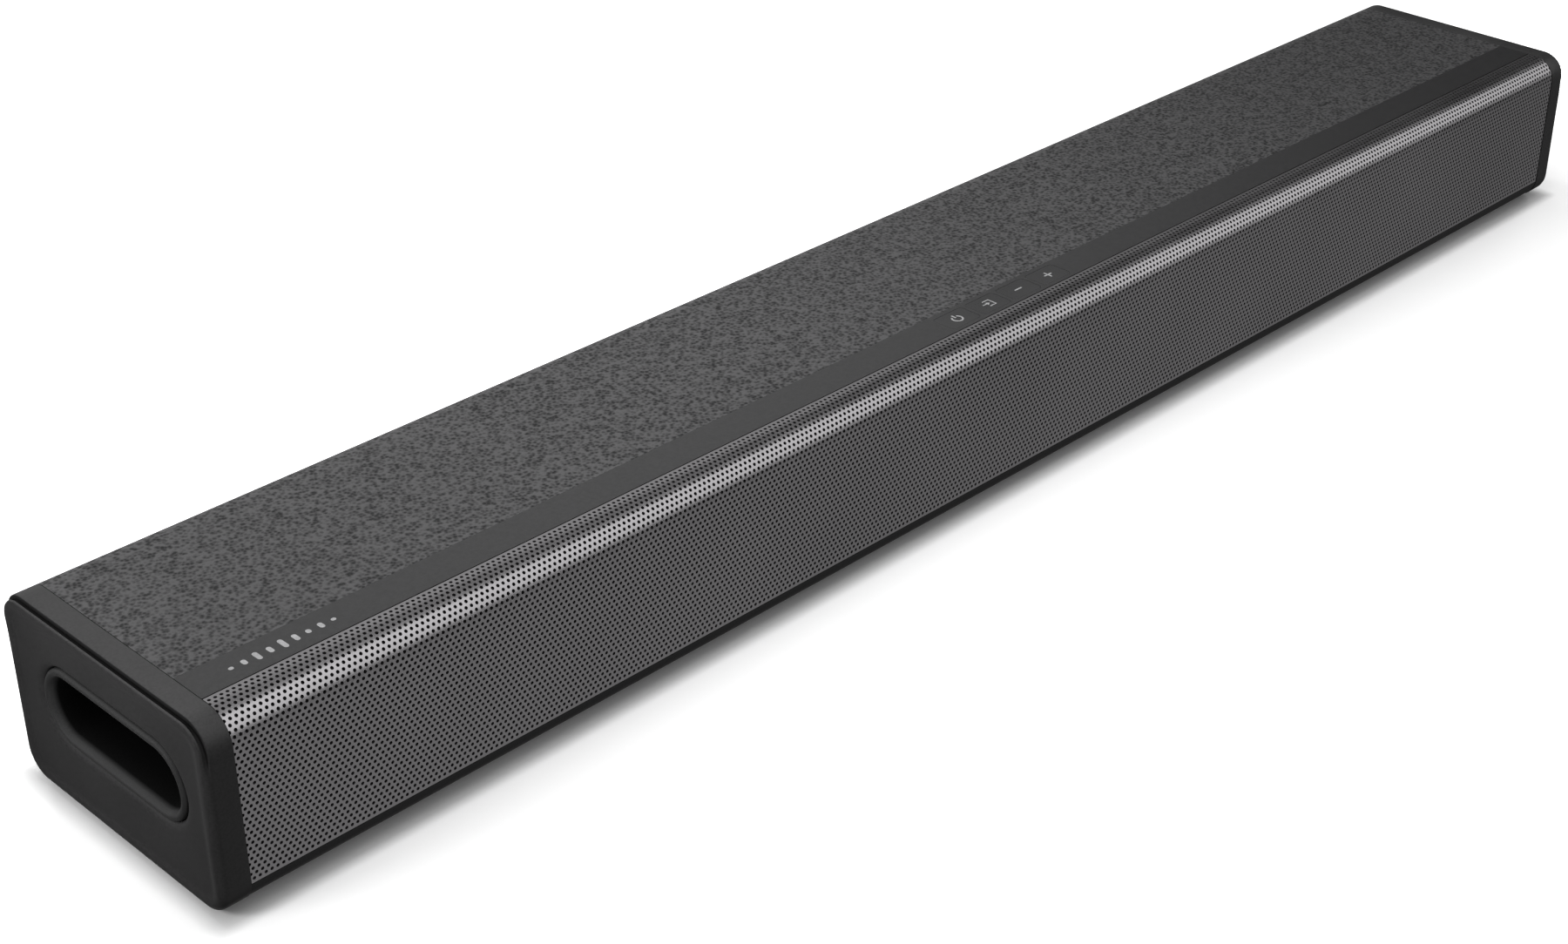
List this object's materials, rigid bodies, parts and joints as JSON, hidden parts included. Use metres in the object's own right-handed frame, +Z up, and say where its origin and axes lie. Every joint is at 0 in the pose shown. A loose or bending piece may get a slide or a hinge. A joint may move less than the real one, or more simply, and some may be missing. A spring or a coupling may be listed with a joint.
{
  "type": "soundbar",
  "caption": "Slim one-piece soundbar with a perforated metal front grille, slot bass ports in both end caps, top push keys and rear sockets.",
  "frame": {"origin": "middle of the plane the rubber feet stand on", "axes": "+X along the bar towards the right-hand end seen from behind the camera, +Z up, grille faces -Y"},
  "size_m": [0.65, 0.095, 0.061],
  "materials": {
    "shell_plastic": "fine-textured dark grey moulding",
    "case_plastic": "matt black moulding",
    "rear_plastic": "matt black moulding",
    "baffle_plastic": "matt black moulding",
    "grille_metal": "powder-coated perforated sheet steel",
    "scrim_cloth": "black acoustic cloth",
    "cap_plastic": "fine satin dark grey moulding",
    "port_plastic": "satin black moulding",
    "cup_plastic": "black moulding",
    "gasket_foam": "closed-cell foam",
    "circuit_board": "green solder mask",
    "switch_body": "black moulding",
    "sink_metal": "black-dipped extrusion, bare fins",
    "shield_tin": "tin-plated can",
    "winding_tape": "yellow tape over ferrite core",
    "can_sleeve": "dark sleeve",
    "socket_shell": "nickel-plated shell",
    "socket_plastic": "black moulding",
    "pin_metal": "nickel-plated brass",
    "wire_sleeve": "insulated wire",
    "insert_brass": "turned brass",
    "foot_rubber": "matt rubber",
    "label_film": "blank silver-grey film",
    "screw_steel": "black zinc plated",
    "key_plastic": "satin dark grey moulding",
    "basket_steel": "black painted steel",
    "ferrite": "sintered ferrite, dark grey",
    "motor_steel": "zinc-plated steel",
    "cone_paper": "coated pulp cone",
    "surround_rubber": "butyl rubber",
    "spider_cloth": "resin-dipped woven cloth"
  },
  "bodies": {
    "housing": {"top_cover": "shell_plastic", "bottom_case": "case_plastic", "rear_panel": "rear_plastic", "jack_frame": "rear_plastic", "jack_plate": "rear_plastic", "front_baffle": "baffle_plastic", "speaker_grille": "grille_metal", "grille_scrim": "scrim_cloth", "end_cap_left": "cap_plastic", "end_cap_right": "cap_plastic", "port_tube_left": "port_plastic", "port_tube_right": "port_plastic", "driver_cup_left": "cup_plastic", "driver_cup_right": "cup_plastic", "driver_gaskets": "gasket_foam", "key_board": "circuit_board", "tact_switches": "switch_body", "indicator_board": "circuit_board", "main_board": "circuit_board", "amp_heatsink": "sink_metal", "wireless_module": "shield_tin", "psu_board": "circuit_board", "psu_transformer": "winding_tape", "psu_capacitor": "can_sleeve", "hdmi_socket": "socket_shell", "usb_socket": "socket_shell", "optical_socket": "socket_plastic", "aux_jack": "socket_plastic", "mains_inlet": "socket_plastic", "mains_pins": "pin_metal", "speaker_leads": "wire_sleeve", "mains_lead": "wire_sleeve", "wall_mount_inserts": "insert_brass", "feet": "foot_rubber", "rating_label": "label_film", "case_screws": "screw_steel", "board_screws": "screw_steel", "driver_screws": "screw_steel", "woofer_basket": "basket_steel", "woofer_magnet": "ferrite", "woofer_motor_plates": "motor_steel", "woofer_surround": "surround_rubber", "woofer_spider": "spider_cloth", "driver_left_basket": "basket_steel", "driver_left_magnet": "ferrite", "driver_left_motor_plates": "motor_steel", "driver_left_surround": "surround_rubber", "driver_left_spider": "spider_cloth", "driver_right_basket": "basket_steel", "driver_right_magnet": "ferrite", "driver_right_motor_plates": "motor_steel", "driver_right_surround": "surround_rubber", "driver_right_spider": "spider_cloth"},
    "key_power": {"key_power": "key_plastic"},
    "key_source": {"key_source": "key_plastic"},
    "key_volume_down": {"key_volume_down": "key_plastic"},
    "key_volume_up": {"key_volume_up": "key_plastic"},
    "woofer_diaphragm": {"woofer_cone": "cone_paper"},
    "driver_left_diaphragm": {"driver_left_cone": "cone_paper"},
    "driver_right_diaphragm": {"driver_right_cone": "cone_paper"}
  },
  "joints": [
    {"name": "key_power_press", "type": "slide", "parent": "housing", "child": "key_power", "axis": [0, 0, -1], "range_m": [0, 0.0005], "stiffness_N_per_m": 2500, "springref_m": -0.0001},
    {"name": "key_source_press", "type": "slide", "parent": "housing", "child": "key_source", "axis": [0, 0, -1], "range_m": [0, 0.0005], "stiffness_N_per_m": 2500, "springref_m": -0.0001},
    {"name": "key_volume_down_press", "type": "slide", "parent": "housing", "child": "key_volume_down", "axis": [0, 0, -1], "range_m": [0, 0.0005], "stiffness_N_per_m": 2500, "springref_m": -0.0001},
    {"name": "key_volume_up_press", "type": "slide", "parent": "housing", "child": "key_volume_up", "axis": [0, 0, -1], "range_m": [0, 0.0005], "stiffness_N_per_m": 2500, "springref_m": -0.0001},
    {"name": "woofer_excursion", "type": "slide", "parent": "housing", "child": "woofer_diaphragm", "axis": [0, -1, 0], "range_m": [-0.003, 0.003], "stiffness_N_per_m": 1400, "deforming": ["woofer_surround", "woofer_spider"]},
    {"name": "driver_left_excursion", "type": "slide", "parent": "housing", "child": "driver_left_diaphragm", "axis": [0, -1, 0], "range_m": [-0.002, 0.002], "stiffness_N_per_m": 1000, "deforming": ["driver_left_surround", "driver_left_spider"]},
    {"name": "driver_right_excursion", "type": "slide", "parent": "housing", "child": "driver_right_diaphragm", "axis": [0, -1, 0], "range_m": [-0.002, 0.002], "stiffness_N_per_m": 1000, "deforming": ["driver_right_surround", "driver_right_spider"]}
  ]
}
